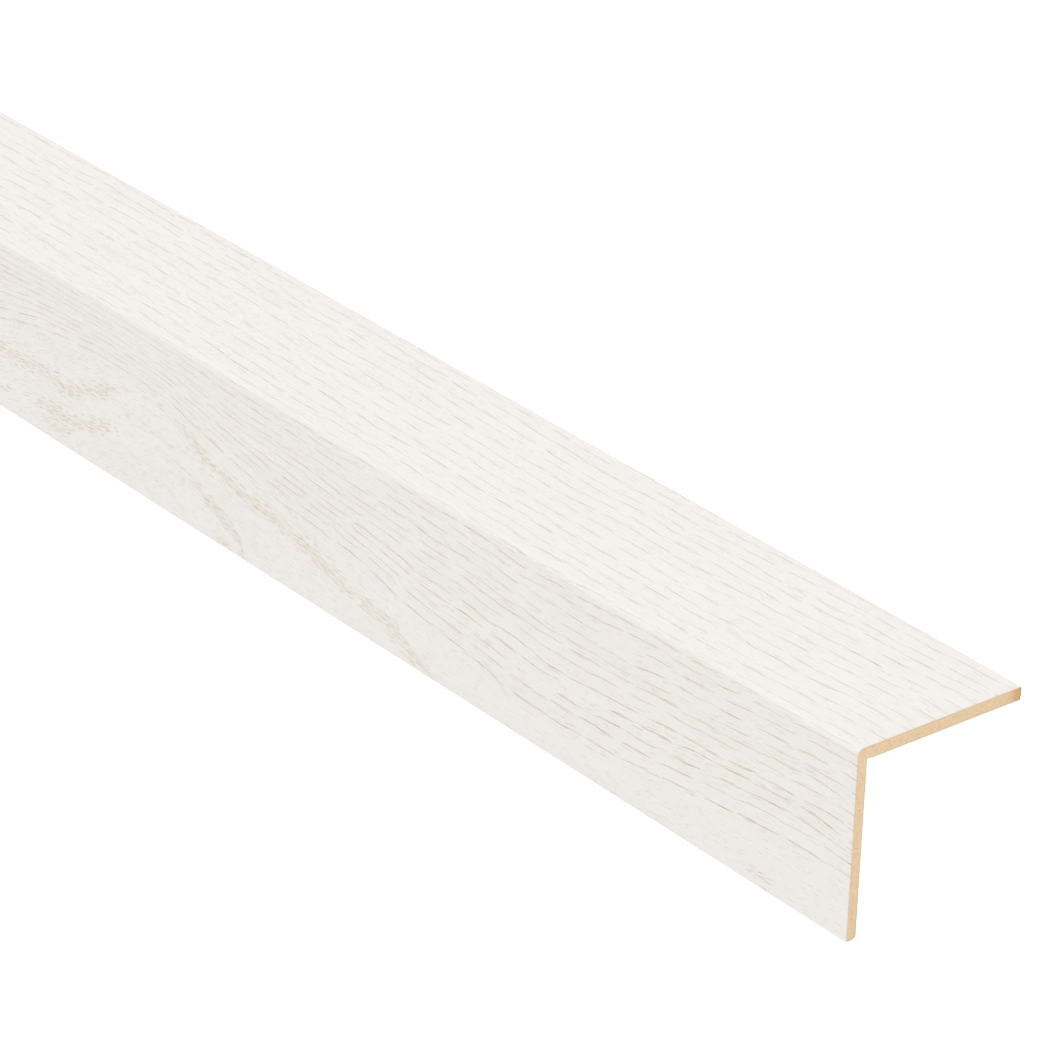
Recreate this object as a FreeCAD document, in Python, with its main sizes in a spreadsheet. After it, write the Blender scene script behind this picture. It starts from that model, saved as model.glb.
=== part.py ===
# Corner guard moulding: an equal-leg angle of thin fibreboard, wrapped on its outside with a decor foil.
#
# Row frame in millimetres: +X along the length, +Z up, origin on the floor at the middle of the footprint.
# The piece lies as it comes to rest, with its ridge up and the back arrises of both legs on the floor. The
# thicker leg, the photograph's top face, goes down towards +Y, and the thinner one towards -Y.
#
# Both sections are drawn square to the axes in one shared section frame: its origin is the sharp outside
# corner of the ridge, the thicker leg runs along the sketch's +x and the thinner one along its -y.
import math
import os

import FreeCAD, Part
import Sketcher

SIZES = [
    ("stock_length", 2400.0, "whole stick, a length that such trim is sold in"),
    ("leg_width", 60.0, "each leg over the foil, from the ridge's sharp corner to the leg's edge"),
    ("thick_board", 3.9, "board of the thicker leg, without its foil"),
    ("thin_board", 3.3, "board of the thinner leg, without its foil"),
    ("foil_thickness", 0.3, "decor foil with its glue"),
    ("ridge_radius", 2.0, "rounding of the ridge over the foil"),
    ("edge_radius", 0.5, "rounding of each leg's outside arris over the foil"),
    ("back_radius", 1.0, "rounding of the thinner leg's back arris"),
    ("relief_depth", 0.35, "cutter relief in the inside corner, into the thicker leg's back"),
    ("relief_width", 1.9, "run of that relief along the thicker leg's back"),
    ("relief_undercut", 0.1, "reach of the relief's tip behind the thinner leg's back"),
    ("bare_strip", 0.2, "flat bare board between the foil's end and the back arris's rounding"),
]


class Length:
    """A length as a number, for drawing, and as the sheet formula that gives it, for the constraint."""

    def __init__(self, formula, value):
        self.formula = formula
        self.value = value

    def __add__(self, other):
        return Length(f"({self.formula} + {other.formula})", self.value + other.value)

    def __sub__(self, other):
        return Length(f"({self.formula} - {other.formula})", self.value - other.value)


def make_sheet(doc):
    """The driving sizes, one row each: name, number, what it is."""
    sheet = doc.addObject("Spreadsheet::Sheet", "sizes")
    for row, (name, value, meaning) in enumerate(SIZES, start=1):
        sheet.set(f"A{row}", name)
        sheet.set(f"B{row}", str(value))
        sheet.set(f"C{row}", meaning)
        sheet.setAlias(f"B{row}", name)
    doc.recompute()
    return sheet


def upright(x):
    """A side of an outline that stands at this distance right of the section frame's y axis."""
    return ("upright", x)


def level(y):
    """A side of an outline that lies at this distance below the section frame's x axis."""
    return ("level", y)


def rounding(start, corner, end, radius):
    """The arc that rounds a square corner, and whether it turns left from start to end."""
    centre = start + end - corner
    first = math.atan2(start.y - centre.y, start.x - centre.x)
    last = math.atan2(end.y - centre.y, end.x - centre.x)
    turns_left = (start - centre).cross(end - centre).z > 0
    if not turns_left:
        first, last = last, first
    if last < first:
        last += 2 * math.pi
    circle = Part.Circle(centre, FreeCAD.Vector(0, 0, 1), radius)
    return Part.ArcOfCircle(circle, first, last), turns_left


def draw_outline(sketch, sides, radii):
    """Closes level and upright sides, in order, into one outline whose sizes follow the sheet.

    radii[i] rounds the corner between side i and the next one; None leaves that corner sharp.
    """
    count = len(sides)
    corners = []
    for i in range(count):
        pair = dict([sides[i], sides[(i + 1) % count]])
        corners.append(FreeCAD.Vector(pair["upright"].value, -pair["level"].value, 0))

    lines = []
    for i in range(count):
        before, after = corners[i - 1], corners[i]
        run = (after - before).normalize()
        start = before + run * (radii[i - 1].value if radii[i - 1] else 0)
        end = after - run * (radii[i].value if radii[i] else 0)
        lines.append((sketch.addGeometry(Part.LineSegment(start, end), False), start, end))

    for i in range(count):
        line, _, end = lines[i]
        following, start, _ = lines[(i + 1) % count]
        if radii[i] is None:
            sketch.addConstraint(Sketcher.Constraint("Coincident", line, 2, following, 1))
            continue
        shape, turns_left = rounding(end, corners[i], start, radii[i].value)
        arc = sketch.addGeometry(shape, False)
        near, far = (1, 2) if turns_left else (2, 1)
        sketch.addConstraint(Sketcher.Constraint("Tangent", line, 2, arc, near))
        sketch.addConstraint(Sketcher.Constraint("Tangent", arc, far, following, 1))
        index = sketch.addConstraint(Sketcher.Constraint("Radius", arc, radii[i].value))
        sketch.setExpression(f"Constraints[{index}]", radii[i].formula)

    for (line, _, _), (way, distance) in zip(lines, sides):
        tie_side(sketch, line, way, distance)


def tie_side(sketch, line, way, distance):
    """Sets a side level or upright, and holds it on its axis or at its distance from the origin."""
    x_axis, y_axis = -1, -2
    sketch.addConstraint(Sketcher.Constraint("Horizontal" if way == "level" else "Vertical", line))
    if distance.value == 0:
        axis = x_axis if way == "level" else y_axis
        sketch.addConstraint(Sketcher.Constraint("PointOnObject", line, 1, axis))
        return
    tie_start(sketch, line, way, distance)


def tie_start(sketch, line, way, distance):
    """Holds a line's start at a distance right of the origin, or below it."""
    origin = (-1, 1)
    if way == "level":
        held = Sketcher.Constraint("DistanceY", line, 1, *origin, distance.value)
    else:
        held = Sketcher.Constraint("DistanceX", *origin, line, 1, distance.value)
    index = sketch.addConstraint(held)
    sketch.setExpression(f"Constraints[{index}]", distance.formula)


def draw_polygon(sketch, points):
    """Closes points, each a distance right of the origin and one below it, into a straight-sided outline."""
    places = [FreeCAD.Vector(right.value, -down.value, 0) for right, down in points]
    count = len(points)
    lines = [
        sketch.addGeometry(Part.LineSegment(places[i], places[(i + 1) % count]), False) for i in range(count)
    ]
    for i, (right, down) in enumerate(points):
        sketch.addConstraint(Sketcher.Constraint("Coincident", lines[i - 1], 2, lines[i], 1))
        tie_start(sketch, lines[i], "upright", right)
        tie_start(sketch, lines[i], "level", down)


def section_sketch(body, name):
    """A sketch across the length, on the body's own plane: its x lies along +Y and its y along +Z."""
    plane = next(f for f in body.Origin.OriginFeatures if f.Role == "YZ_Plane")
    sketch = body.newObject("Sketcher::SketchObject", name)
    sketch.AttachmentSupport = [(plane, "")]
    sketch.MapMode = "FlatFace"
    return sketch


def run_full_length(body, kind, name, sketch):
    """A pad or pocket that takes the section half of the stock length to each side of the origin."""
    feature = body.newObject(kind, name)
    feature.Profile = sketch
    feature.SideType = "Symmetric"
    feature.setExpression("Length", "sizes.stock_length")
    sketch.Visibility = False
    return feature


def lay_on_floor(body, leg, foil, thick, thin, back):
    """Turns the section about the length until both legs' back arrises touch the floor.

    The thicker leg stands on its sharp back arris and the thinner one on the rounding of its own. reach and
    drop go from that rounding's centre to the sharp arris, so the floor's slope in the section frame is their
    slope plus the angle that the rounding's radius takes off at this distance.
    """
    reach = (leg - foil) - (foil + thin - back)
    drop = (leg - foil - back) - (foil + thick)
    between = f"sqrt({reach.formula}^2 + {drop.formula}^2)"
    lean = f"(atan2({drop.formula}; {reach.formula}) + asin({back.formula} / {between}))"
    out, down = (leg - foil).formula, (foil + thick).formula
    towards_floor = FreeCAD.Rotation(FreeCAD.Vector(-1, 0, 0), 45)
    body.Placement = FreeCAD.Placement(FreeCAD.Vector(0, 0, 0), towards_floor)
    body.setExpression("Placement.Rotation.Angle", lean)
    body.setExpression("Placement.Base.z", f"{out} * sin({lean}) + {down} * cos({lean})")
    body.setExpression("Placement.Base.y", f"{leg.formula} * (sin({lean}) - cos({lean})) / 2")


def make_core(doc, leg, foil, thick, thin, ridge, edge, back, depth, width, undercut):
    """The fibreboard angle: two boards of unlike thickness in one piece, planed from a solid blank."""
    body = doc.addObject("PartDesign::Body", "mdf_core")
    body.Label = "mdf_core"

    section = section_sketch(body, "core_section")
    sides = [
        level(foil),
        upright(leg - foil),
        level(foil + thick),
        upright(foil + thin),
        level(leg - foil),
        upright(foil),
    ]
    radii = [edge - foil, None, None, back, edge - foil, ridge - foil]
    draw_outline(section, sides, radii)
    run_full_length(body, "PartDesign::Pad", "core_run", section)

    # The cutter's tip goes a little deep in the inside corner and runs out along the thicker leg's back.
    relief = section_sketch(body, "relief_section")
    corner = (foil + thin, foil + thick)
    tip = (foil + thin - undercut, foil + thick - depth)
    runout = (foil + thin + width, foil + thick)
    draw_polygon(relief, [corner, tip, runout])
    run_full_length(body, "PartDesign::Pocket", "inside_corner_relief", relief)
    return body


def make_foil(doc, leg, foil, thick, thin, ridge, edge, back, bare):
    """The foil: one band over both faces and the ridge, lapped round each leg's edge but not its back."""
    body = doc.addObject("PartDesign::Body", "decor_foil")
    body.Label = "decor_foil"
    none = Length("0", 0.0)

    section = section_sketch(body, "foil_section")
    sides = [
        level(none),
        upright(leg),
        level(foil + thick - back - bare),
        upright(leg - foil),
        level(foil),
        upright(foil),
        level(leg - foil),
        upright(foil + thin - back - bare),
        level(leg),
        upright(none),
    ]
    radii = [edge, None, None, edge - foil, ridge - foil, edge - foil, None, None, edge, ridge]
    draw_outline(section, sides, radii)
    run_full_length(body, "PartDesign::Pad", "foil_run", section)
    return body


def check(doc, parts):
    """Stops the build on a failed feature or a sub-part that isn't a whole solid."""
    for item in doc.Objects:
        bad = [word for word in item.State if word in ("Invalid", "Error")]
        if bad:
            raise RuntimeError(f"{item.Name} is {bad}")
    for body in parts:
        if body.Shape.isNull() or not body.Shape.isValid():
            raise RuntimeError(f"{body.Label} has no valid shape")
        if len(body.Shape.Solids) != 1:
            raise RuntimeError(f"{body.Label} has {len(body.Shape.Solids)} solids")


doc = FreeCAD.newDocument("corner_guard")
make_sheet(doc)
size = {name: Length(f"sizes.{name}", value) for name, value, _ in SIZES}
leg, foil = size["leg_width"], size["foil_thickness"]
thick, thin = size["thick_board"], size["thin_board"]
ridge, edge, back = size["ridge_radius"], size["edge_radius"], size["back_radius"]
relief = size["relief_depth"], size["relief_width"], size["relief_undercut"]

core = make_core(doc, leg, foil, thick, thin, ridge, edge, back, *relief)
wrap = make_foil(doc, leg, foil, thick, thin, ridge, edge, back, size["bare_strip"])
for body in (core, wrap):
    lay_on_floor(body, leg, foil, thick, thin, back)
doc.recompute()
check(doc, (core, wrap))

os.makedirs("parts", exist_ok=True)
for body in (core, wrap):
    body.Shape.exportStep(f"parts/{body.Label}.step")
    box = body.Shape.BoundBox
    print(body.Label, [round(v, 4) for v in (box.XMin, box.YMin, box.ZMin, box.XMax, box.YMax, box.ZMax)])
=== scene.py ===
"""Looks of a foil-wrapped fibreboard corner guard: two legs square to each other, one stick of stock."""

import math

import bpy
import numpy as np
from mathutils import Matrix, Vector


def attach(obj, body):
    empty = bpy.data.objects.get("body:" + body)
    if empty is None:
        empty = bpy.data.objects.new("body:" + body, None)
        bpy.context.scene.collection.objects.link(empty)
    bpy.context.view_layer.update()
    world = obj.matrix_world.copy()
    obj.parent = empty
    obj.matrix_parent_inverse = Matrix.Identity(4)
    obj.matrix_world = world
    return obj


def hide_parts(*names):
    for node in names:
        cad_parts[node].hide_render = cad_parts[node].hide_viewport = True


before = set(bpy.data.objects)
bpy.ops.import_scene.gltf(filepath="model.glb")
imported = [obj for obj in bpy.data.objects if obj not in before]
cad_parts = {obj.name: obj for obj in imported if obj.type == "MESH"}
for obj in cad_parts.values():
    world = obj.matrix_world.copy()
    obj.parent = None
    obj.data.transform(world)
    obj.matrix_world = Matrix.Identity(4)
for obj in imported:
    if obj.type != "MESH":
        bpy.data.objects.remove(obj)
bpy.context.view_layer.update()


# Fibreboard core
# One angle of thin medium-density fibreboard, planed to shape from a solid blank, with a thicker and a
# thinner leg. The foil hides its outside. Its backs stay raw, and its two sawn ends show the tan board.
LENGTH = 2400.0
LEG = 60.0
FOIL = 0.3
THICK_BOARD, THIN_BOARD = 3.9, 3.3
RIDGE_RADIUS, EDGE_RADIUS, BACK_RADIUS = 2.0, 0.5, 1.0
RELIEF_DEPTH, RELIEF_WIDTH, RELIEF_UNDERCUT = 0.35, 1.9, 0.1
ARC_STEPS = 8

# The stick leans until the back arrises of both legs touch the floor.
REACH = (LEG - FOIL) - (FOIL + THIN_BOARD - BACK_RADIUS)
DROP = (LEG - FOIL - BACK_RADIUS) - (FOIL + THICK_BOARD)
LEAN = math.atan2(DROP, REACH) + math.asin(BACK_RADIUS / math.hypot(REACH, DROP))
RIDGE_Y = LEG * (math.sin(LEAN) - math.cos(LEAN)) / 2
RIDGE_Z = (LEG - FOIL) * math.sin(LEAN) + (FOIL + THICK_BOARD) * math.cos(LEAN)

BOARD = (0.850, 0.648, 0.415, 1)
BOARD_SHADE = (0.705, 0.502, 0.296, 1)
BOARD_SKIN = (0.690, 0.520, 0.350, 1)
SCORCHED_TIP = (0.690, 0.378, 0.149, 1)
TIP_RIM = (0.400, 0.270, 0.110, 1)
SPECK = (0.250, 0.140, 0.070, 1)

# Sizes of the board's texture in millimetres. Those of fibres and saw marks go along the stick, out and down.
FELT, CLOUD = 1.1, 9.0
FIBRE = (7.0, 0.35, 0.35)
SAW_MARK = (1.0, 40.0, 0.25)
SPECK_CELLS_A_MM = 0.9
SPECK_CORE, SPECK_RIM = 0.08, 0.22
CELLS_WITHOUT_SPECK = 0.92

# Where each mark on the sawn ends starts and is full: the skin by its depth, the others by how far out along
# the thick leg they lie.
SKIN_REACH = (0.55, 0.1)
SCORCH_REACH = (54.8, 58.2)
RIM_REACH = (58.6, 59.6)


def as_it_lies(along, out, down):
    """Metres on the floor for millimetres from the near end, out the thick leg and down the thin one."""
    y = RIDGE_Y + out * math.cos(LEAN) - down * math.sin(LEAN)
    z = RIDGE_Z - out * math.sin(LEAN) - down * math.cos(LEAN)
    return Vector((LENGTH / 2 - along, y, z)) / 1000


BESIDE_ARC = 0.2


def rounded(corners, steps):
    """The outline through square corners (out, down, radius), each radius drawn as an arc of small steps.

    One more point lies just beyond both ends of an arc, so that smooth shading leaves the flats flat.
    """
    outline = []
    for i, (out, down, radius) in enumerate(corners):
        corner = Vector((out, down))
        back = (Vector(corners[i - 1][:2]) - corner).normalized()
        on = (Vector(corners[(i + 1) % len(corners)][:2]) - corner).normalized()
        if radius == 0:
            outline.append(corner)
            continue
        centre = corner + radius * (back + on)
        outline.append(corner + back * (radius + BESIDE_ARC))
        for k in range(steps + 1):
            turn = math.pi / 2 * k / steps
            outline.append(centre - radius * (on * math.cos(turn) + back * math.sin(turn)))
        outline.append(corner + on * (radius + BESIDE_ARC))
    return outline


def wire(tree, socket, value):
    """Feeds an input from another node's output, or gives it a plain value."""
    if isinstance(value, bpy.types.NodeSocket):
        tree.links.new(value, socket)
    else:
        socket.default_value = value


def put(tree, kind, feeds, **options):
    """A node with its options set and its inputs fed from values or from other nodes."""
    made = tree.nodes.new(kind)
    for option, value in options.items():
        setattr(made, option, value)
    for key, value in feeds.items():
        wire(tree, made.inputs[key], value)
    return made


def add(tree, kind, feeds, **options):
    return put(tree, "ShaderNode" + kind, feeds, **options)


def calc(tree, operation, *values, clamp=False):
    return add(tree, "Math", dict(enumerate(values)), operation=operation, use_clamp=clamp).outputs[0]


def run_tree():
    """Sweeps an outline over the stick's length, caps its ends and maps along and girth, in metres."""
    tree = bpy.data.node_groups.new("run of one section", "GeometryNodeTree")
    inputs = {"Outline": "Geometry", "Length": "Float", "Rings": "Int", "Finish": "Material"}
    for label, kind in inputs.items():
        tree.interface.new_socket(label, in_out="INPUT", socket_type="NodeSocket" + kind)
    tree.interface.new_socket("Run", in_out="OUTPUT", socket_type="NodeSocketGeometry")

    takes = tree.nodes.new("NodeGroupInput").outputs
    half = calc(tree, "MULTIPLY", takes["Length"], 0.5)
    start = add(tree, "CombineXYZ", {"X": calc(tree, "MULTIPLY", half, -1.0)}).outputs[0]
    end = add(tree, "CombineXYZ", {"X": half}).outputs[0]
    rail = put(tree, "GeometryNodeCurvePrimitiveLine", {"Start": start, "End": end}).outputs[0]
    rail = put(tree, "GeometryNodeResampleCurve", {"Curve": rail, "Count": takes["Rings"]}).outputs[0]
    rail = put(tree, "GeometryNodeSetCurveTilt", {"Curve": rail, "Tilt": math.pi}).outputs[0]
    section = put(tree, "GeometryNodeMeshToCurve", {"Mesh": takes["Outline"]}).outputs[0]
    feeds = {"Curve": rail, "Profile Curve": section, "Fill Caps": True}
    swept = put(tree, "GeometryNodeCurveToMesh", feeds).outputs[0]

    place = put(tree, "GeometryNodeInputPosition", {}).outputs[0]
    place = add(tree, "SeparateXYZ", {0: place}).outputs
    along = calc(tree, "SUBTRACT", half, place["X"])
    girth = put(tree, "GeometryNodeInputNamedAttribute", {"Name": "girth"}, data_type="FLOAT").outputs[0]
    spot = add(tree, "CombineXYZ", {"X": along, "Y": girth}).outputs[0]
    feeds = {"Geometry": swept, "Name": "print", "Value": spot}
    mapped = put(tree, "GeometryNodeStoreNamedAttribute", feeds, data_type="FLOAT2", domain="CORNER")
    real = put(tree, "GeometryNodeRealizeInstances", {0: mapped.outputs[0]})
    dressed = put(tree, "GeometryNodeSetMaterial", {0: real.outputs[0], "Material": takes["Finish"]})
    put(tree, "NodeGroupOutput", {0: dressed.outputs[0]})
    return tree


RUN = run_tree()
RING_PITCH = 10.0
RINGS = round(LENGTH / RING_PITCH)
SHARP_ANGLE = math.radians(35)


def in_scene(name, data):
    """A new object of this data in the scene."""
    made = bpy.data.objects.new(name, data)
    bpy.context.scene.collection.objects.link(made)
    return made


def run_over_length(name, outline, girths, finish):
    """A finished piece: the outline, in millimetres of the section, swept from one sawn end to the other."""
    drawing = bpy.data.meshes.new(name + "_outline")
    points = [as_it_lies(0, out, down) for out, down in outline]
    edges = [(i, (i + 1) % len(points)) for i in range(len(points))]
    drawing.from_pydata([(p.y, p.z, 0) for p in points], edges, [])
    girth = drawing.attributes.new("girth", "FLOAT", "POINT")
    girth.data.foreach_set("value", [g / 1000 for g in girths])
    piece = in_scene(name, drawing)
    modifier = piece.modifiers.new("run", "NODES")
    modifier.node_group = RUN
    values = {"Length": LENGTH / 1000, "Rings": RINGS + 1, "Finish": finish}
    for item in RUN.interface.items_tree:
        if item.in_out == "INPUT" and item.name in values:
            modifier[item.identifier] = values[item.name]
    view = bpy.context.evaluated_depsgraph_get()
    mesh = bpy.data.meshes.new_from_object(piece.evaluated_get(view), depsgraph=view)
    piece.modifiers.clear()
    piece.data = mesh
    bpy.data.meshes.remove(drawing)
    mesh.shade_smooth()
    mesh.set_sharp_from_angle(angle=SHARP_ANGLE)
    return piece


# A square sheet, in millimetres, that each piece is laid out on for the bake of its finish.
SHEET = 624.0
SHEET_MARGIN = 12
STRIPS = 4
STRIP_GAP = 4.0
CAP_GAP = 6
HIDDEN_SHARE = 0.06


def strips(piece, widths, cap_places):
    """Lays the piece out on the sheet in four strips, so that its pattern stays sharp there.

    widths gives each side of the outline its breadth in a strip, and cap_places gives each outline point its
    place on the sheet for the near end's cap and the far end's.
    """
    mesh, count = piece.data, len(widths)
    per_strip = RINGS // STRIPS
    across = np.concatenate([[0], np.cumsum(widths)])
    pitch = across[-1] + STRIP_GAP
    corner_vertex = np.empty(len(mesh.loops), int)
    mesh.loops.foreach_get("vertex_index", corner_vertex)
    spots = np.empty((len(mesh.loops), 2))
    for face in mesh.polygons:
        corners = list(face.loop_indices)
        ring, side = np.divmod(corner_vertex[corners], count)
        if len(corners) != 4 or np.ptp(ring) == 0:
            near = ring[0] == RINGS
            spots[corners] = [cap_places[0 if near else 1][i] for i in side]
            continue
        strip = ring.min() // per_strip
        if {0, count - 1} <= set(side):
            side = np.where(side == 0, count, side)
        spots[corners, 0] = SHEET_MARGIN + (ring - strip * per_strip) * RING_PITCH
        spots[corners, 1] = SHEET_MARGIN + strip * pitch + across[side]
    sheet = mesh.uv_layers.new(name="OFBake")
    sheet.data.foreach_set("uv", (spots / SHEET).astype(np.float32).ravel())


def over_strips(widths):
    """Where the end caps start on the sheet, beyond the last strip."""
    return SHEET_MARGIN + STRIPS * (sum(widths) + STRIP_GAP) + CAP_GAP


def fade(tree, value, start, end, low=0.0, high=1.0):
    """Goes softly from low to high while the value goes from start to end."""
    feeds = {"Value": value, "From Min": start, "From Max": end, "To Min": low, "To Max": high}
    return add(tree, "MapRange", feeds, interpolation_type="SMOOTHSTEP").outputs["Result"]


def blend(tree, share, first, second, mode="MIX"):
    feeds = {0: share, 6: first, 7: second}
    return add(tree, "Mix", feeds, data_type="RGBA", blend_type=mode, clamp_factor=True).outputs[2]


def shaded(tree, colour, tone):
    """The colour made lighter or darker by a tone around 0."""
    grey = calc(tree, "ADD", 1.0, tone)
    grey = add(tree, "CombineColor", {0: grey, 1: grey, 2: grey}).outputs[0]
    return blend(tree, 1.0, colour, grey, "MULTIPLY")


def new_group(name, takes, gives):
    """A shader node group and its inner ends; takes names each input with its default, gives each output."""
    kinds = {float: "NodeSocketFloat", tuple: "NodeSocketVector"}
    tree = bpy.data.node_groups.new(name, "ShaderNodeTree")
    for label, value in takes.items():
        socket = tree.interface.new_socket(label, in_out="INPUT", socket_type=kinds[type(value)])
        socket.default_value = value
    for label in gives:
        tree.interface.new_socket(label, in_out="OUTPUT", socket_type="NodeSocketFloat")
    return tree, tree.nodes.new("NodeGroupInput").outputs, tree.nodes.new("NodeGroupOutput").inputs


def placed(tree, group, feeds):
    made = tree.nodes.new("ShaderNodeGroup")
    made.node_tree = group
    for key, value in feeds.items():
        wire(tree, made.inputs[key], value)
    return made.outputs


def mottle_group():
    """Cloudy tone from about -1 to 1. Size is the clouds' breadth, in the unit of Place."""
    takes = {"Place": (0.0, 0.0, 0.0), "Size": 1.0, "Detail": 2.0}
    tree, takes, gives = new_group("mottle", takes, ["Tone"])
    scale = calc(tree, "DIVIDE", 1.0, takes["Size"])
    feeds = {"Vector": takes["Place"], "Scale": scale, "Detail": takes["Detail"], "Roughness": 0.6}
    cloud = add(tree, "TexNoise", feeds).outputs[0]
    wire(tree, gives["Tone"], calc(tree, "MULTIPLY_ADD", cloud, 4.0, -2.0))
    return tree


MOTTLE = mottle_group()


def mottled(tree, place, detail, size=1.0):
    return placed(tree, MOTTLE, {"Place": place, "Size": size, "Detail": detail})["Tone"]


def stretched(tree, place, x, y, z):
    """The place squeezed by these sizes, so that a pattern of size 1 takes them."""
    return add(tree, "Mapping", {"Vector": place, "Scale": (1 / x, 1 / y, 1 / z)}).outputs[0]


def new_finish(name):
    """A new material, its node tree and its shader."""
    material = bpy.data.materials.new(name)
    material.use_nodes = True
    return material, material.node_tree, material.node_tree.nodes["Principled BSDF"]


def coat(tree, shader, colour, roughness, height, strength, depth):
    """Gives the shader its colour, its roughness and a fine relief, whose depth is in metres."""
    wire(tree, shader.inputs["Base Color"], colour)
    wire(tree, shader.inputs["Roughness"], roughness)
    bump = add(tree, "Bump", {"Strength": strength, "Distance": depth, "Height": height})
    wire(tree, shader.inputs["Normal"], bump.outputs[0])


def fibreboard():
    """Raw board: felted fibres, dark specks, and on the ends saw marks, dense skins and a scorched tip."""
    material, tree, shader = new_finish("raw fibreboard")

    # Millimetres along the stick, out along the thick leg and up from the ridge, as the section is drawn.
    spot = add(tree, "TexCoord", {}).outputs["Object"]
    back_y = -(RIDGE_Y * math.cos(LEAN) - RIDGE_Z * math.sin(LEAN))
    back_z = -(RIDGE_Y * math.sin(LEAN) + RIDGE_Z * math.cos(LEAN))
    feeds = {"Vector": spot, "Scale": (1000, 1000, 1000), "Rotation": (LEAN, 0, 0)}
    place = add(tree, "Mapping", {**feeds, "Location": (0, back_y, back_z)}).outputs[0]
    parts = add(tree, "SeparateXYZ", {0: place}).outputs
    out, down = parts["Y"], calc(tree, "MULTIPLY", parts["Z"], -1.0)
    facing = add(tree, "SeparateXYZ", {0: add(tree, "NewGeometry", {}).outputs["Normal"]}).outputs["X"]
    on_end = calc(tree, "GREATER_THAN", calc(tree, "ABSOLUTE", facing), 0.5)

    # Depth of the board under its nearest face.
    outside = calc(tree, "MINIMUM", calc(tree, "SUBTRACT", out, FOIL), calc(tree, "SUBTRACT", down, FOIL))
    inside = calc(tree, "MAXIMUM", calc(tree, "SUBTRACT", FOIL + THIN_BOARD, out),
                  calc(tree, "SUBTRACT", FOIL + THICK_BOARD, down))
    depth = calc(tree, "MINIMUM", outside, inside)

    felt = mottled(tree, place, 4.0, FELT)
    clouds = mottled(tree, place, 2.0, CLOUD)
    fibres = mottled(tree, stretched(tree, place, *FIBRE), 2.0)
    fibres = calc(tree, "MULTIPLY", fibres, calc(tree, "SUBTRACT", 1.0, on_end))
    saw = calc(tree, "MULTIPLY", mottled(tree, stretched(tree, place, *SAW_MARK), 1.0), on_end)
    cells = add(tree, "TexVoronoi", {"Vector": place, "Scale": SPECK_CELLS_A_MM})
    lot = add(tree, "SeparateColor", {0: cells.outputs["Color"]}).outputs[0]
    speck = fade(tree, cells.outputs["Distance"], SPECK_RIM, SPECK_CORE)
    speck = calc(tree, "MULTIPLY", speck, calc(tree, "GREATER_THAN", lot, CELLS_WITHOUT_SPECK))

    def mark(where, ragged, reach):
        """The mask of a mark on the sawn ends, whose edge the felt makes ragged."""
        where = calc(tree, "MULTIPLY_ADD", felt, ragged, where)
        return calc(tree, "MULTIPLY", fade(tree, where, *reach), on_end)

    layers = [
        (mark(depth, 0.12, SKIN_REACH), 0.55, BOARD_SKIN),
        (mark(out, 1.0, SCORCH_REACH), 0.8, SCORCHED_TIP),
        (mark(out, 0.5, RIM_REACH), 0.7, TIP_RIM),
        (speck, 0.6, SPECK),
    ]
    shade = calc(tree, "MULTIPLY_ADD", felt, 0.40, 0.30, clamp=True)
    colour = blend(tree, shade, BOARD, BOARD_SHADE)
    for mask, strength, paint in layers:
        colour = blend(tree, calc(tree, "MULTIPLY", mask, strength), colour, paint)
    tone = calc(tree, "MULTIPLY_ADD", fibres, 0.05, calc(tree, "MULTIPLY", clouds, 0.02))
    colour = shaded(tree, colour, calc(tree, "MULTIPLY_ADD", saw, 0.03, tone))
    roughness = calc(tree, "MULTIPLY_ADD", felt, 0.05, 0.88)
    height = calc(tree, "ADD", calc(tree, "MULTIPLY", felt, 0.5), saw)
    coat(tree, shader, colour, roughness, height, strength=0.5, depth=0.00006)
    return material


core_outline = rounded([
    (LEG - FOIL, FOIL, EDGE_RADIUS - FOIL),
    (LEG - FOIL, FOIL + THICK_BOARD, 0),
    (FOIL + THIN_BOARD + RELIEF_WIDTH, FOIL + THICK_BOARD, 0),
    (FOIL + THIN_BOARD - RELIEF_UNDERCUT, FOIL + THICK_BOARD - RELIEF_DEPTH, 0),
    (FOIL + THIN_BOARD, FOIL + THICK_BOARD, 0),
    (FOIL + THIN_BOARD, LEG - FOIL, BACK_RADIUS),
    (FOIL, LEG - FOIL, EDGE_RADIUS - FOIL),
    (FOIL, FOIL, RIDGE_RADIUS - FOIL),
], ARC_STEPS)


def run_lengths(outline):
    """The length of each side of a closed outline."""
    return [(outline[(i + 1) % len(outline)] - p).length for i, p in enumerate(outline)]


core_sides = run_lengths(core_outline)
mdf_core = run_over_length("fibreboard_angle", core_outline, np.cumsum([0] + core_sides[:-1]), fibreboard())

# The backs lie open and take most of the sheet, what the foil hides takes little, and the ends are enlarged.
HAIR = 0.01
OPEN_SHARE = 0.7
CAP_SCALE = 3.5
CORE_CAPS_LEFT = (14, 300)
core_widths = []
for (out, down), side in zip(core_outline, core_sides):
    hidden = out < FOIL + HAIR or down < FOIL + HAIR
    core_widths.append(side * (HIDDEN_SHARE if hidden else OPEN_SHARE))
cap_top = over_strips(core_widths)
core_caps = [
    [(left + p.x * CAP_SCALE, cap_top + p.y * CAP_SCALE) for p in core_outline] for left in CORE_CAPS_LEFT
]
strips(mdf_core, core_widths, core_caps)
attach(mdf_core, "root")
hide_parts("mdf_core")


# Decor foil
# A thin white foil printed and embossed with ash-like grain, glued in one band over both faces and the ridge.
# It laps round each leg's edge, stops just short of the back, and is sawn off flush with the board.
BARE_STRIP = 0.2
FOIL_ARC_STEPS = 10

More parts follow.
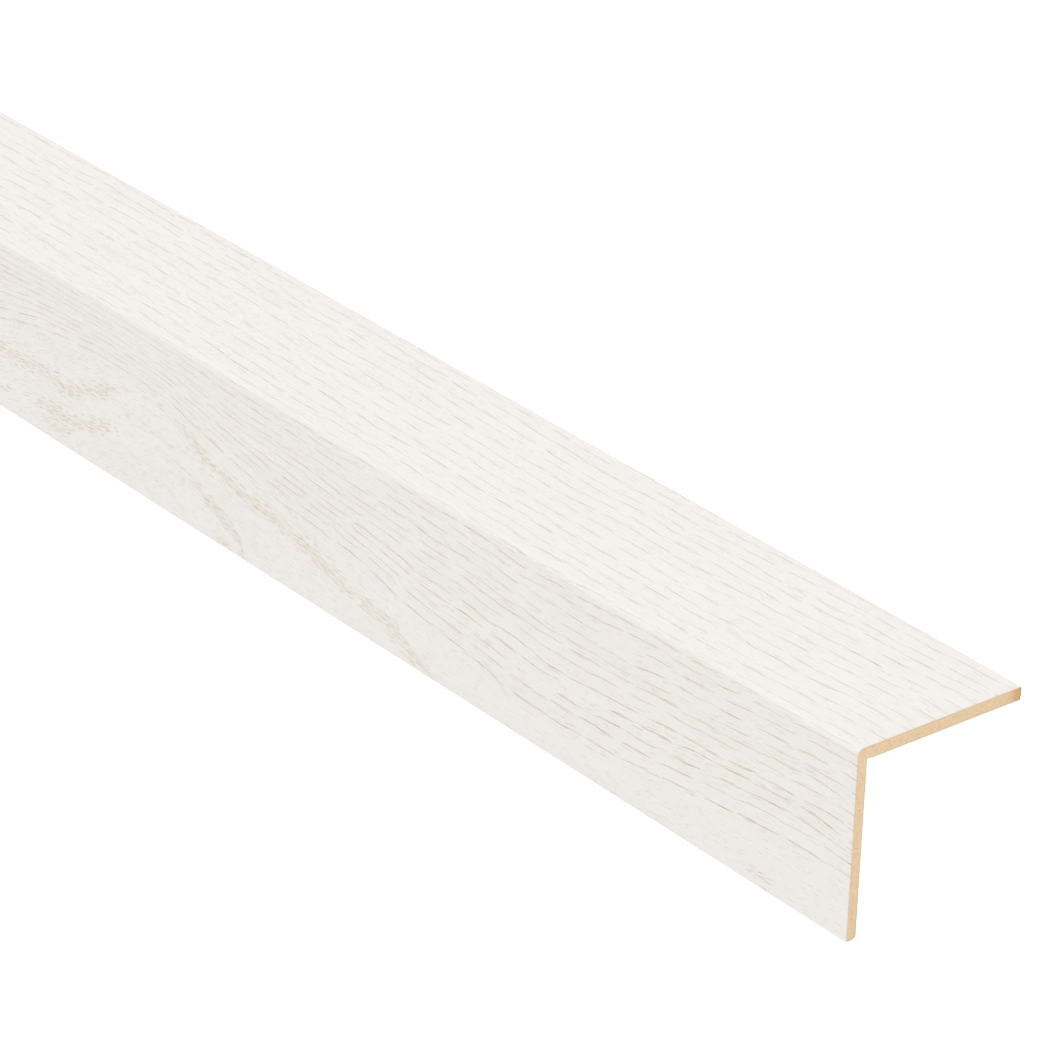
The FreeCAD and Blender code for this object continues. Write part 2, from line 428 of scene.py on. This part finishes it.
FOIL_WHITE = (0.806, 0.775, 0.750, 1)
FOIL_SHADOW = (0.770, 0.738, 0.705, 1)
GRAIN_BEIGE = (0.412, 0.354, 0.302, 1)
GRAIN_TAN = (0.405, 0.346, 0.255, 1)
ROW_TINT = (0.792, 0.714, 0.500, 1)
STREAK_TINT = (0.765, 0.662, 0.470, 1)
STREAK_BROWN = (0.450, 0.358, 0.240, 1)
SAWN_FOIL = (0.780, 0.700, 0.590, 1)

# The print repeats along the stick, with one arch in each repeat. Rows of pores follow its growth lines as
# far as the last row, beyond which lies the broad pale heart.
REPEAT = 640.0
FIRST_ARCH = 335.0
ROW_PITCH = 4.7
LAST_ROW = 39.0

# These lines are drawn over one repeat, in millimetres from its arch. They give how far the growth
# lines rise towards the ridge on the thin leg, how far they stray sideways over the ridge and the thick leg,
# and how far down the thin leg the two brown streaks lie.
RISES = [
    (-320, 0.0), (-300, -1.0), (-275, -3.5), (-237, -7.0), (-205, -8.5), (-160, -4.0), (-115, 4.5),
    (-65, 10.0), (-35, 15.0), (0, 19.0), (45, 17.0), (75, 12.0), (105, 6.0), (150, 1.0), (205, -3.0),
    (260, -2.0), (320, 0.0),
]
STRAYS = [
    (-320, 2.0), (-260, -1.0), (-185, -2.5), (-125, -1.5), (-60, 0.5), (0, 2.4), (55, 3.2), (150, 3.5),
    (250, 3.0), (320, 2.0),
]
OUTER_STREAK = [
    (-320, 78.0), (-170, 72.0), (-152, 60.0), (-140, 53.5), (-125, 48.5), (-114, 46.9), (-102, 45.0),
    (-90, 42.3), (-78, 39.9), (-66, 38.1), (-56, 36.9), (-45, 34.5), (-37, 32.0), (-30, 29.0), (-8, 24.0),
    (14, 29.0), (19, 32.0), (26, 34.5), (33, 37.5), (42, 39.0), (50, 38.5), (75, 38.0), (120, 42.0),
    (165, 50.0), (205, 62.0), (320, 78.0),
]
INNER_STREAK = [
    (-320, 78.0), (-62, 76.0), (-58, 60.0), (-55, 53.2), (-48, 50.2), (-39, 47.2), (-30, 44.0), (-22, 41.0),
    (-8, 36.0), (3, 35.0), (7, 37.5), (14, 42.3), (24, 46.0), (33, 48.0), (43, 49.4), (54, 50.2), (70, 51.5),
    (90, 54.0), (120, 62.0), (160, 78.0), (320, 78.0),
]

# Brown patches: millimetres from the arch and down the thin leg, half length, half width and strength.
PATCHES = [
    (-298, 56.5, 7.5, 4.0, 0.7), (-141, 55.0, 10.5, 6.0, 0.85), (-47, 57.5, 7.0, 2.5, 0.85),
    (44, 54.0, 10.0, 4.5, 0.85),
]

# The growth lines wander a little besides: breadth and sway of each wander in millimetres, and its detail.
WANDERS = [(500.0, 1.0, 0.0), (120.0, 1.3, 1.0), (30.0, 0.7, 1.0)]
ARCH_TOP = -8.0

# Kinds of pore dash: length, gap between rows, half width and sideways scatter in millimetres, and the seed.
LONG_STRANDS = (17.0, ROW_PITCH, 0.115, 0.38, 1.0)
SHORT_STRANDS = (10.0, ROW_PITCH, 0.100, 1.20, 2.0)
STRAY_PORES = (6.5, ROW_PITCH, 0.090, 3.60, 3.0)
FLECKS = (3.2, 0.50, 0.08, 0.20, 5.0)
STREAK_PORES = (4.5, 0.55, 0.09, 0.25, 9.0)
SHORT_INK, STRAY_INK, FLECK_INK, STREAK_INK = 0.80, 0.65, 0.55, 0.90

# What differs between the legs, the thick one's value first: how close the rows lie, and how strong their ink
# and the faint tan band about them are.
CLOSENESS = (1.0, 1.38)
INK_STRENGTH = (0.72, 0.89)
BAND_STRENGTH = (0.07, 0.23)


def hand_line(tree, share, points, low, high):
    """The height, between low and high, of a line drawn over one repeat of the print."""
    made = add(tree, "FloatCurve", {"Value": share})
    line = made.mapping.curves[0]
    spots = [(where / REPEAT + 0.5, (height - low) / (high - low)) for where, height in points]
    line.points[0].location = (0, spots[0][1])
    line.points[1].location = (1, spots[-1][1])
    for x, y in spots[1:-1]:
        line.points.new(x, y)
    made.mapping.update()
    return calc(tree, "MULTIPLY_ADD", made.outputs[0], high - low, low)


def lots(tree, x, y, z):
    """Three chances from 0 to 1 that keep the same for the same three numbers."""
    spot = add(tree, "CombineXYZ", {0: x, 1: y, 2: z}).outputs[0]
    drawn = add(tree, "TexWhiteNoise", {"Vector": spot}, noise_dimensions="3D").outputs["Color"]
    return add(tree, "SeparateColor", {0: drawn}).outputs


def about(tree, lot, breadth):
    """A chance from 0 to 1 turned to a value within half the breadth on both sides of nought."""
    return calc(tree, "MULTIPLY_ADD", lot, breadth, calc(tree, "MULTIPLY", breadth, -0.5))


def growth_group():
    """The board's growth lines at a place on the print, in millimetres along and out from the ridge.

    Ring counts millimetres across the lines, Streak runs from 0 to 1 within the brown streaks and patches,
    and Arch from 0 to 1 towards the middle of an arch.
    """
    tree, takes, gives = new_group("growth lines", {"Place": (0.0, 0.0, 0.0)}, ["Ring", "Streak", "Arch"])
    parts = add(tree, "SeparateXYZ", {0: takes["Place"]}).outputs
    along, across = parts["X"], calc(tree, "MULTIPLY", parts["Y"], -1.0)
    share = calc(tree, "ADD", calc(tree, "DIVIDE", along, REPEAT), 1.5 - FIRST_ARCH / REPEAT)
    share = calc(tree, "FRACT", share)
    rise = hand_line(tree, share, RISES, low=-30.0, high=30.0)
    reach = calc(tree, "SUBTRACT", LAST_ROW, rise)
    ring = calc(tree, "MULTIPLY_ADD", rise, calc(tree, "DIVIDE", across, reach, clamp=True), across)
    stray = hand_line(tree, share, STRAYS, low=-5.0, high=5.0)
    ring = calc(tree, "MULTIPLY_ADD", stray, fade(tree, across, 30.0, 0.0), ring)
    for breadth, sway, detail in WANDERS:
        spot = stretched(tree, takes["Place"], breadth, breadth * 0.4, 1.0)
        ring = calc(tree, "MULTIPLY_ADD", mottled(tree, spot, detail), sway, ring)
    wire(tree, gives["Ring"], ring)

    # Each streak swells and thins, and breaks off at the top of its arch. The inner one fades beyond it.
    from_arch = calc(tree, "MULTIPLY_ADD", share, REPEAT, -REPEAT / 2)
    wire(tree, gives["Arch"], fade(tree, calc(tree, "ABSOLUTE", from_arch), 140.0, 70.0))
    swell = add(tree, "TexNoise", {"Vector": takes["Place"], "Scale": 0.11, "Detail": 2.0}).outputs[0]
    breadth = calc(tree, "MULTIPLY_ADD", swell, 10.0, -0.6)
    inner_end = fade(tree, from_arch, 66.0, 46.0, 0.25, 1.0)
    streak = 0.0
    for line, strength in ((OUTER_STREAK, 1.0), (INNER_STREAK, inner_end)):
        middle = hand_line(tree, share, line, low=0.0, high=80.0)
        away = calc(tree, "ABSOLUTE", calc(tree, "SUBTRACT", across, middle))
        streak = calc(tree, "MAXIMUM", streak, fade(tree, away, breadth, 0.2, 0.0, strength))
    from_top = calc(tree, "ABSOLUTE", calc(tree, "SUBTRACT", from_arch, ARCH_TOP))
    streak = calc(tree, "MULTIPLY", streak, fade(tree, from_top, 14.0, 26.0, 0.2, 1.0))

    # A patch is an oval whose edge swells and thins as the streaks do.
    spot = add(tree, "CombineXYZ", {0: from_arch, 1: across}).outputs[0]
    for where, down, long, wide, strength in PATCHES:
        feeds = {"Location": (-where / long, -down / wide, 0), "Scale": (1 / long, 1 / wide, 0)}
        oval = add(tree, "Mapping", {"Vector": spot, **feeds}).outputs[0]
        away = add(tree, "VectorMath", {0: oval}, operation="LENGTH").outputs["Value"]
        away = calc(tree, "MULTIPLY_ADD", swell, -1.6, calc(tree, "ADD", away, 0.8))
        streak = calc(tree, "MAXIMUM", streak, fade(tree, away, 1.0, 0.3, 0.0, strength))
    wire(tree, gives["Streak"], streak)
    return tree


def pore_group():
    """Fine pore dashes in rows that lie along the first part of Place, with all sizes in millimetres.

    Gap is the distance between rows and Scatter how far the dashes stray sideways. Line is the mask of the
    dash at this place, tapered at both ends, Band a broad soft mask about it, Lot is its chance and Depth how
    dark it is printed.
    """
    takes = {
        "Place": (0.0, 0.0, 0.0), "Dash": 8.0, "Gap": 0.6, "Half Width": 0.14, "Scatter": 0.2, "Seed": 0.0,
    }
    tree, takes, gives = new_group("pores", takes, ["Line", "Band", "Lot", "Depth"])
    parts = add(tree, "SeparateXYZ", {0: takes["Place"]}).outputs
    along, out, seed, gap = parts["X"], parts["Y"], takes["Seed"], takes["Gap"]
    ragged = add(tree, "CombineXYZ", {0: calc(tree, "DIVIDE", along, 5.0), 1: out, 2: seed}).outputs[0]
    ragged = add(tree, "TexNoise", {"Vector": ragged, "Scale": 0.9, "Detail": 1.5}).outputs[0]
    row = calc(tree, "DIVIDE", calc(tree, "ADD", out, about(tree, ragged, 0.5)), gap)
    number = calc(tree, "FLOOR", row)
    of_row = lots(tree, number, 3.0, 7.0)
    step = calc(tree, "MULTIPLY_ADD", of_row[1], 13.0, calc(tree, "DIVIDE", along, takes["Dash"]))
    cell, part = calc(tree, "FLOOR", step), calc(tree, "FRACT", step)
    first = lots(tree, number, cell, seed)
    second = lots(tree, cell, number, calc(tree, "ADD", seed, 0.5))

    # The dash lies near the middle of its cell, takes most of its length and thins towards both ends.
    centre = calc(tree, "MULTIPLY_ADD", first[1], 0.08, 0.46)
    half = calc(tree, "MULTIPLY_ADD", first[2], 0.16, 0.33)
    run = calc(tree, "DIVIDE", calc(tree, "SUBTRACT", part, centre), half)
    square = calc(tree, "MULTIPLY", run, run)
    taper = calc(tree, "SUBTRACT", 1.0, calc(tree, "POWER", square, 3.0), clamp=True)
    aside = calc(tree, "MULTIPLY", about(tree, of_row[0], 0.42), gap)
    aside = calc(tree, "ADD", aside, about(tree, second[0], takes["Scatter"]))
    off = calc(tree, "MULTIPLY", calc(tree, "SUBTRACT", calc(tree, "FRACT", row), 0.5), gap)
    off = calc(tree, "ABSOLUTE", calc(tree, "SUBTRACT", off, aside))
    width = calc(tree, "MULTIPLY", taper, takes["Half Width"])
    line = fade(tree, off, calc(tree, "ADD", width, 0.05), calc(tree, "SUBTRACT", width, 0.05))
    wire(tree, gives["Line"], calc(tree, "MULTIPLY", line, taper))
    wire(tree, gives["Band"], calc(tree, "MULTIPLY", fade(tree, off, 1.3, 0.2), taper))

    wire(tree, gives["Lot"], first[0])
    of_dash = calc(tree, "MULTIPLY_ADD", second[2], 0.45, 0.50)
    of_line = calc(tree, "MULTIPLY_ADD", of_row[2], 0.35, 0.82)
    wire(tree, gives["Depth"], calc(tree, "MULTIPLY", of_dash, of_line))
    return tree


GROWTH = growth_group()
PORES = pore_group()


def decor_foil():
    """Satin white foil: rows of beige pores in faint bands, brown arched streaks and a fine emboss."""
    material, tree, shader = new_finish("white grain foil")

    printed = add(tree, "UVMap", {}, uv_map="print").outputs[0]
    place = add(tree, "Mapping", {"Vector": printed, "Scale": (1000, 1000, 1000)}).outputs[0]
    parts = add(tree, "SeparateXYZ", {0: place}).outputs
    along, out = parts["X"], parts["Y"]
    thin_leg = fade(tree, out, 0.0, -3.0)

    def by_leg(thick, thin):
        """Goes from the thick leg's value to the thin one's."""
        return calc(tree, "MULTIPLY_ADD", thin_leg, thin - thick, thick)

    def pores(spot, kind, chance):
        """The masks of those dashes of a kind whose own lot lies under the chance, and of their bands."""
        feeds = dict(zip(("Dash", "Gap", "Half Width", "Scatter", "Seed"), kind))
        made = placed(tree, PORES, {"Place": spot, **feeds})
        keep = calc(tree, "MULTIPLY", calc(tree, "LESS_THAN", made["Lot"], chance), made["Depth"])
        return calc(tree, "MULTIPLY", made["Line"], keep), calc(tree, "MULTIPLY", made["Band"], keep)

    growth = placed(tree, GROWTH, {"Place": place})
    closer = calc(tree, "MULTIPLY", growth["Ring"], by_leg(*CLOSENESS))
    in_wood = add(tree, "CombineXYZ", {0: along, 1: closer}).outputs[0]

    # The rows of pores pale here and there and stop at the heart. Each row is a few long thin strands side by
    # side in a faint tan band, with shorter and fainter pores scattered about it.
    pale = mottled(tree, stretched(tree, in_wood, 40.0, 3.0, 1.0), 1.0)
    full = calc(tree, "MULTIPLY", fade(tree, pale, -1.0, -0.3, 0.30, 1.0),
                fade(tree, growth["Ring"], LAST_ROW + 4.0, LAST_ROW + 2.0))
    fewer = calc(tree, "MULTIPLY", full, 0.75)
    long_strands, band = pores(in_wood, LONG_STRANDS, full)
    short_strands, _ = pores(in_wood, SHORT_STRANDS, fewer)
    stray_pores, _ = pores(in_wood, STRAY_PORES, fewer)
    flecks, _ = pores(in_wood, FLECKS, calc(tree, "MULTIPLY_ADD", growth["Arch"], 0.18, 0.13))
    band = calc(tree, "MULTIPLY", band, by_leg(*BAND_STRENGTH))

    # Dense fine pores fill the streaks and patches, nearly along the streak but turned a little to the stick.
    turned = calc(tree, "MULTIPLY_ADD", growth["Ring"], 0.6, calc(tree, "MULTIPLY", out, -0.4))
    in_streak = add(tree, "CombineXYZ", {0: along, 1: turned}).outputs[0]
    streaks, _ = pores(in_streak, STREAK_PORES, calc(tree, "MULTIPLY", growth["Streak"], 0.85))
    streaks = calc(tree, "MULTIPLY", streaks, STREAK_INK)
    tint = fade(tree, pale, -0.8, 0.8, 0.14, 0.27)
    tint = calc(tree, "MULTIPLY", fade(tree, growth["Streak"], 0.30, 1.0), tint)

    # The rows' ink is paler over the ridge and on the thick leg, stronger by the heart, and gritty all over.
    ink = calc(tree, "MAXIMUM", long_strands, calc(tree, "MULTIPLY", short_strands, SHORT_INK))
    faint = calc(tree, "MULTIPLY", stray_pores, STRAY_INK)
    faint = calc(tree, "MAXIMUM", faint, calc(tree, "MULTIPLY", flecks, FLECK_INK))
    ink = calc(tree, "MAXIMUM", ink, faint)
    grit = mottled(tree, stretched(tree, place, 0.55, 0.30, 1.0), 1.0)
    ink = calc(tree, "MULTIPLY", ink, fade(tree, calc(tree, "ABSOLUTE", out), 0.6, 2.2, 0.70, 1.0))
    ink = calc(tree, "MULTIPLY", ink, by_leg(*INK_STRENGTH))
    ink = calc(tree, "MULTIPLY", ink, fade(tree, growth["Ring"], 18.0, 34.0, 1.0, 1.15))
    ink = calc(tree, "MULTIPLY", ink, calc(tree, "MULTIPLY_ADD", grit, 0.80, 1.0), clamp=True)

    soft = mottled(tree, stretched(tree, place, 45.0, 7.0, 1.0), 3.0)
    silk = mottled(tree, stretched(tree, place, 5.0, 0.4, 1.0), 2.0)
    shadow = calc(tree, "MULTIPLY_ADD", soft, 0.50, 0.30, clamp=True)
    colour = blend(tree, shadow, FOIL_WHITE, FOIL_SHADOW)
    colour = blend(tree, band, colour, ROW_TINT)
    colour = blend(tree, tint, colour, STREAK_TINT)
    colour = blend(tree, ink, colour, blend(tree, thin_leg, GRAIN_BEIGE, GRAIN_TAN))
    colour = blend(tree, streaks, colour, STREAK_BROWN)
    tone = calc(tree, "MULTIPLY_ADD", silk, 0.022, calc(tree, "MULTIPLY", grit, 0.036))
    colour = shaded(tree, colour, tone)

    # The saw nibbles the foil's edge at both ends.
    to_end = calc(tree, "MINIMUM", along, calc(tree, "SUBTRACT", LENGTH, along))
    nibble = mottled(tree, place, 2.0, 0.8)
    chipped = fade(tree, calc(tree, "MULTIPLY_ADD", nibble, -0.25, to_end), -0.10, -0.22)
    colour = blend(tree, chipped, colour, SAWN_FOIL)

    pressed = calc(tree, "MAXIMUM", ink, streaks)
    gloss = calc(tree, "MULTIPLY_ADD", silk, 0.03, 0.46)
    roughness = calc(tree, "MULTIPLY_ADD", pressed, 0.2, gloss)
    height = calc(tree, "MULTIPLY", calc(tree, "ADD", silk, grit), 0.12)
    height = calc(tree, "SUBTRACT", height, pressed)
    coat(tree, shader, colour, roughness, height, strength=0.35, depth=0.00008)
    return material


THIN_LAP_END = FOIL + THIN_BOARD - BACK_RADIUS - BARE_STRIP
THICK_LAP_END = FOIL + THICK_BOARD - BACK_RADIUS - BARE_STRIP
foil_corners = [
    (FOIL, LEG - FOIL, EDGE_RADIUS - FOIL),
    (THIN_LAP_END, LEG - FOIL, 0),
    (THIN_LAP_END, LEG, 0),
    (0, LEG, EDGE_RADIUS),
    (0, 0, RIDGE_RADIUS),
    (LEG, 0, EDGE_RADIUS),
    (LEG, THICK_LAP_END, 0),
    (LEG - FOIL, THICK_LAP_END, 0),
    (LEG - FOIL, FOIL, EDGE_RADIUS - FOIL),
    (FOIL, FOIL, RIDGE_RADIUS - FOIL),
]
foil_outline = list(reversed(rounded(foil_corners, FOIL_ARC_STEPS)))
foil_sides = run_lengths(foil_outline)

# Girth over the print counts from the ridge, out along the thick leg and, below nought, down the thin leg.
foil_girths = []
for out, down in foil_outline:
    if out >= LEG - FOIL - HAIR:
        foil_girths.append(LEG + max(0.0, down - EDGE_RADIUS))
    elif down >= LEG - FOIL - HAIR:
        foil_girths.append(-LEG - max(0.0, out - EDGE_RADIUS))
    else:
        foil_girths.append(out - down)

foil = run_over_length("grain_foil", foil_outline, foil_girths, decor_foil())

# The glued side takes little of the sheet, and the thin sawn ends lie on it as two straight bands.
GLUED_SIDE = FOIL - 0.02
LAP_ARC = 0.1
CAP_BAND = 3.0
FOIL_CAPS_MIDDLE = (80, 246)
foil_widths = []
for i, ((out, down), side) in enumerate(zip(foil_outline, foil_sides)):
    after = foil_outline[(i + 1) % len(foil_outline)]
    middle = (out + after.x) / 2, (down + after.y) / 2
    outside = min(middle) < GLUED_SIDE or max(middle) > LEG - LAP_ARC
    foil_widths.append(side if outside else side * HIDDEN_SHARE)
cap_top = over_strips(foil_widths)
foil_caps = []
for ridge_at in FOIL_CAPS_MIDDLE:
    places = []
    for (out, down), girth in zip(foil_outline, foil_girths):
        glued = min(out, down) > GLUED_SIDE and max(out, down) < LEG - GLUED_SIDE
        places.append((ridge_at + girth, cap_top + (CAP_BAND if glued else 0.0)))
    foil_caps.append(places)
strips(foil, foil_widths, foil_caps)
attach(foil, "root")
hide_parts("decor_foil")


# Floor, light and camera
# A pale floor that reads as the photograph's plain white ground, a broad soft lamp that favours the thick
# leg, a faint one from the far end, and even light from all round. The camera looks at the near end over the
# ridge, turned as in the photograph.
FLOOR = 9.0
FLOOR_WHITE = (0.9, 0.9, 0.9, 1)
FLOOR_GLOW = 0.85
AROUND = 0.928
LAMP, LAMP_BREADTH = 0.66, 50
LAMP_LEAN = math.radians(13.5)
BACK_LAMP, BACK_LAMP_BREADTH = 0.09, 70
TO_BACK_LAMP = (0.689, -0.452, -0.566)
LENS = 173.808
CAMERA_PLACE = (-847.814, -813.408, -657.62)
CAMERA_RIGHT = (-0.624512, 0.780573, -0.026281)
CAMERA_DOWN = (-0.367856, -0.264294, 0.891533)

# To the camera the floor glows a little, so that it shows no shadow, as in the photograph.
corners = [(-FLOOR, -FLOOR, 0), (FLOOR, -FLOOR, 0), (FLOOR, FLOOR, 0), (-FLOOR, FLOOR, 0)]
ground = bpy.data.meshes.new("floor")
ground.from_pydata(corners, [], [(0, 1, 2, 3)])
floor = in_scene("floor", ground)
paper, tree, shader = new_finish("white paper floor")
shader.inputs["Base Color"].default_value = FLOOR_WHITE
shader.inputs["Roughness"].default_value = 0.95
glow = add(tree, "Emission", {"Color": (1, 1, 1, 1), "Strength": FLOOR_GLOW}).outputs[0]
both = add(tree, "AddShader", {0: shader.outputs[0], 1: glow}).outputs[0]
seen = add(tree, "LightPath", {}).outputs["Is Camera Ray"]
mixed = add(tree, "MixShader", {0: seen, 1: shader.outputs[0], 2: both}).outputs[0]
wire(tree, tree.nodes["Material Output"].inputs["Surface"], mixed)
ground.materials.append(paper)

world = bpy.data.worlds.new("even light")
bpy.context.scene.world = world
world.use_nodes = True
world.node_tree.nodes["Background"].inputs["Color"].default_value = (1, 1, 1, 1)
world.node_tree.nodes["Background"].inputs["Strength"].default_value = AROUND


def direction(along, out, down):
    """A direction given along the stick, out along the thick leg and down the thin one, as it lies."""
    return (as_it_lies(along, out, down) - as_it_lies(0, 0, 0)).normalized()


def soft_lamp(name, strength, breadth, turn):
    """A far lamp that shines from a patch of sky this many degrees broad."""
    lamp = in_scene(name, bpy.data.lights.new(name, "SUN"))
    lamp.data.energy = strength
    lamp.data.angle = math.radians(breadth)
    lamp.rotation_euler = turn


soft_lamp("soft lamp", LAMP, LAMP_BREADTH, (-LAMP_LEAN, 0, 0))
to_back_lamp = direction(*TO_BACK_LAMP).to_track_quat("Z", "Y").to_euler()
soft_lamp("back lamp", BACK_LAMP, BACK_LAMP_BREADTH, to_back_lamp)

right, up = direction(*CAMERA_RIGHT), -direction(*CAMERA_DOWN)
turn = Matrix((right, up, right.cross(up))).transposed().to_4x4()
camera = in_scene("camera", bpy.data.cameras.new("camera"))
camera.data.lens = LENS
camera.data.sensor_width = 36.0
camera.data.clip_start = 0.05
camera.data.clip_end = 50.0
camera.matrix_world = Matrix.Translation(as_it_lies(*CAMERA_PLACE)) @ turn
bpy.context.scene.camera = camera
bpy.context.scene.view_settings.view_transform = "Standard"
